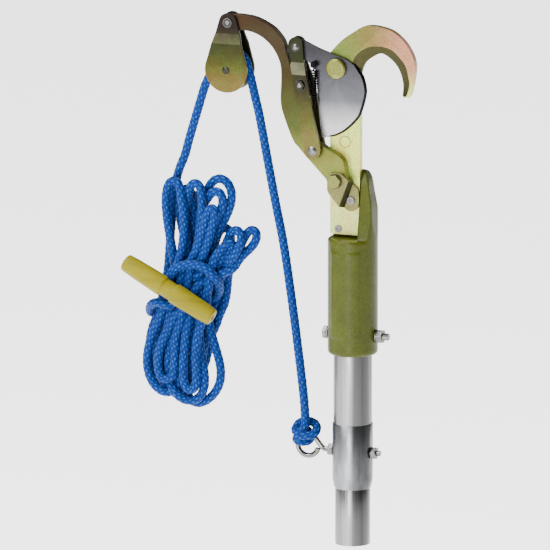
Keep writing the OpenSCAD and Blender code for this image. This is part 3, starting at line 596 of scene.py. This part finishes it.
# ---------------------------------------------------------------- blade with ground edge
B = [-52, 456]
cut = curve([[4, 443], [12, 434.5], [15.5, 422.5], [15, 414.5], [11.5, 402], [7.5, 394], [-3.5, 383], [-13.5, 377], [-24, 374.5]], 10)
top = np.concatenate([arc(B, 8.5, 250, 130, 16), curve([[-52, 464.6], [-44, 462], [-32, 457], [-20.5, 453], [-11.5, 450.5], [-3, 447.5], [4, 443]], 6)[:-1]])
tailb = np.concatenate([[[-27.5, 374.5]], curve([[-29.5, 391], [-31.8, 416.5], [-32.6, 430], [-35, 437.5], [-41, 443.5], [-48, 446.5]], 6)])
cut = resample(cut, n=90)
tg = np.gradient(cut, axis=0)
tg /= np.linalg.norm(tg, axis=1)[:, None]
nrm = np.stack([tg[:, 1], -tg[:, 0]], 1)      # towards the inside
inw = nrm if ((cut + nrm * 2 - np.array([-5, 415])) ** 2).sum(1).mean() < ((cut - nrm * 2 - np.array([-5, 415])) ** 2).sum(1).mean() else -nrm
amt = 1.8 * np.minimum(1, np.minimum(np.arange(90) / 8 + 0.05, (89 - np.arange(90)) / 5 + 0.05))
cin = cut + inw * amt[:, None]
bl = strip_plate("blade_ground", np.concatenate([top, cin, tailb]), np.concatenate([top, cut, tailb]), -7.4, -4.4, None, [BS, EDGE], -4.9)
bv = bl.modifiers.new("bevel", "BEVEL")
bv.width, bv.segments, bv.limit_method, bv.angle_limit = 0.0002, 1, "ANGLE", math.radians(60)
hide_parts("blade")
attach(bl, "blade")

# ---------------------------------------------------------------- turned and small parts
def lathe(name, c, prof, mat, n=64, deg=32, caps=True):
    """Turned piece about an axis along Y: prof lists (radius, y), front to back."""
    v, f = [], []
    for r_, y_ in prof:
        for k in range(n):
            a = 2 * math.pi * k / n
            v.append((c[0] + r_ * math.cos(a), y_, c[1] + r_ * math.sin(a)))
    for i in range(len(prof) - 1):
        for k in range(n):
            f.append((i * n + k, i * n + (k + 1) % n, (i + 1) * n + (k + 1) % n, (i + 1) * n + k))
    if caps:
        f.append(tuple(range(n)))
        f.append(tuple(range((len(prof) - 1) * n, len(prof) * n)))
    return mesh(name, v, f, mat, deg=deg)


def thread(y0, y1, r_, pitch):
    """Thread profile for a turned shank."""
    out, y_ = [], y0
    while y_ + pitch <= y1:
        out += [(r_, y_), (r_, y_ + pitch * 0.15), (r_ * 0.88, y_ + pitch * 0.5), (r_ * 0.88, y_ + pitch * 0.6)]
        y_ += pitch
    return out + [(r_, y_)]


P = [-13, 439]
head = lathe("blade_pivot_head", P, [(0.4, -11.0), (5.6, -11.05), (5.9, -11.3), (7.3, -11.4), (7.7, -11.2), (8.1, -11.35), (8.7, -11.1), (9.25, -10.4), (9.4, -9.6), (9.4, -7.75), (9.1, -7.6), (4.75, -7.6), (4.75, 8.3)]
             + thread(8.4, 11.1, 4.75, 0.9) + [(4.2, 11.7), (0.4, 11.7)], ZB)
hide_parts("blade_pivot_bolt")
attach(head, "pole")


def ring_piece(name, c, r0, r1, y_, h, mat, body_, n=48):
    o = lathe(name, c, [(r0, y_ - h), (r0 + 0.15, y_ - h - 0.06), (r1 - 0.15, y_ - h - 0.06), (r1, y_ - h), (r1, y_ + 0.1), (r0, y_ + 0.1)], mat, n=n, caps=False)
    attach(o, body_)
    return o


DK = Mat("groove_shadow", rough=0.6, metal=0.4)
DK.set("Base Color", DK.mix(DK.noise(400, 2), (0.006, 0.006, 0.004, 1), (0.016, 0.015, 0.01, 1)))
# Thin dark rings laid just proud of the plates round rivets and bolt heads: painted shadow in the gaps
ring_piece("rivet_groove", [-6, 371.5], 4.85, 5.35, -4.3, 0.03, DK, "pole")
ring_piece("link_bolt_groove", [-43, 424], 4.3, 5.5, -20.2, 0.06, DK, "link")
ring_piece("link_rivet_groove", [-52, 456], 3.0, 4.3, -10.6, 0.06, DK, "link")
# A small bright dome on the darkened bolt head: a painted highlight
bolt_highlight_dome = lathe("link_bolt_highlight_dome", [-43, 424], [(0.3, -23.75), (1.2, -23.7), (1.9, -23.5), (2.1, -23.3), (2.1, -23.1), (0.3, -23.1)], BZ, n=32)
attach(bolt_highlight_dome, "link")
ring_piece("hang_pin_groove", [-116, 475], 2.1, 3.9, -16.5, 0.06, DK, "block")
ring_piece("lever_pivot_groove", [-11, 337], 5.9, 6.7, -15.75, 0.06, DK, "pole")

# ---------------------------------------------------------------- CAD nodes that stay
def finish_node(name, mat, bevel=0.3, seg=2, dissolve=True, deg=35):
    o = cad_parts[name]
    o.data.materials.clear()
    o.data.materials.append(mat.m)
    w = o.modifiers.new("weld", "WELD")
    w.merge_threshold = 0.00001
    if dissolve:
        d_ = o.modifiers.new("flat", "DECIMATE")
        d_.decimate_type = "DISSOLVE"
        d_.angle_limit = math.radians(0.6)
    if bevel:
        b = o.modifiers.new("bevel", "BEVEL")
        b.width, b.segments, b.limit_method, b.angle_limit = bevel / 1000, seg, "ANGLE", math.radians(deg)
        b.harden_normals = False
    return o


def all_smooth(o, deg=35):
    smooth_by_angle(o.data, deg)


NODE_MAT = {
    "lower_tube": (AL, 0.3), "upper_tube": (AL, 0.3), "ferrule_sleeve": (FE, 0.25), "shank_rivet": (ZH, 0.25),
    "casting_rivet": (BZ, 0.2), "bracket_rivet": (BZ, 0.2), "pivot_bracket": (ZK, 0.35), "lever_pivot_bolt": (ZB, 0.35), "lever_pivot_nut": (BZ, 0.35),
    "blade_pivot_washer": (BZ, 0.2), "blade_pivot_nut": (BZ, 0.35), "casting_bolt": (BZ, 0.35), "casting_washers": (BZ, 0.2),
    "casting_nut": (BZ, 0.35), "eye_bolt": (BZL, 0), "eye_nuts": (BZ, 0.35), "lever_arm": (ZL, 0.45), "link_lower_pin": (BZ, 0), "link_front_upper": (ZD, 0.35),
    # BZD parts here and below carry painted shade: the same zinc as BZ, darkened
    "link_front_lower": (ZD, 0.35), "link_rear": (ZD, 0.35), "link_spacer": (BZD, 0.2), "link_bolt": (BZD, 0.3), "link_nut": (BZ, 0.3), "link_top_rivet": (BZ, 0),
    "spring_top_hook": (BK, 0), "spring_stud": (BK, 0.2), "cheek_front": (ZC, 0.35), "cheek_rear": (ZC, 0.35), "sheave_axle": (BZD, 0), "hang_pin": (BZ, 0.2),
    "sheave": (NY, 0.2), "sheave_bush": (BRZ, 0.1), "pull_handle": (WD, 0.3)}
for nm, (mt, bw) in NODE_MAT.items():
    finish_node(nm, mt, bw)

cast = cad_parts["adapter_casting"]
cast.data.materials.clear()
cast.data.materials.append(GP.m)
w = cast.modifiers.new("weld", "WELD")
w.merge_threshold = 0.00001
r = cast.modifiers.new("remesh", "REMESH")
r.mode, r.voxel_size, r.use_smooth_shade = "VOXEL", 0.0007, True
s = cast.modifiers.new("soft", "SMOOTH")
s.factor, s.iterations = 0.5, 10

# ---------------------------------------------------------------- floor and light
def plane(name, verts, mat):
    me = bpy.data.meshes.new(name)
    me.from_pydata(verts, [], [(0, 1, 2, 3)])
    o = bpy.data.objects.new(name, me)
    sc.collection.objects.link(o)
    me.materials.append(mat.m)
    return o


FL = Mat("floor", rough=0.9)
FL.set("Base Color", (0.85, 0.85, 0.85, 1))
FL.set("Emission Color", (1, 1, 1, 1))
FL.set("Emission Strength", FL.range(FL.noise(0.5, 1), 0.0, 1.0, 2.55, 2.65))
plane("floor", [(-40, -40, -0.26), (40, -40, -0.26), (40, 40, -0.26), (-40, 40, -0.26)], FL)


def area(name, az, el, dist, size, power, target=(-0.06, 0, 0.25)):
    l = bpy.data.lights.new(name, "AREA")
    l.shape, l.size, l.size_y, l.energy = "RECTANGLE", size[0], size[1], power
    o = bpy.data.objects.new(name, l)
    sc.collection.objects.link(o)
    a, e = math.radians(az), math.radians(el)
    bk = Vector((math.sin(a) * math.cos(e), -math.cos(a) * math.cos(e), math.sin(e)))
    o.location = Vector(target) + bk * dist
    o.rotation_mode = "QUATERNION"
    o.rotation_quaternion = (-bk).to_track_quat("-Z", "Y")
    return o


area("key", -30, 30, 2.6, (1.2, 1.2), 70)
area("front_box", 4, -4, 2.4, (0.7, 1.5), 42)
area("top", -58, 64, 2.2, (1.2, 1.0), 90)
area("rim", 150, 30, 2.6, (1.2, 1.6), 8)
wd = bpy.data.worlds.new("studio")
sc.world = wd
wd.use_nodes = True
wd.node_tree.nodes["Background"].inputs[0].default_value = (1, 1, 1, 1)
wd.node_tree.nodes["Background"].inputs[1].default_value = 0.3
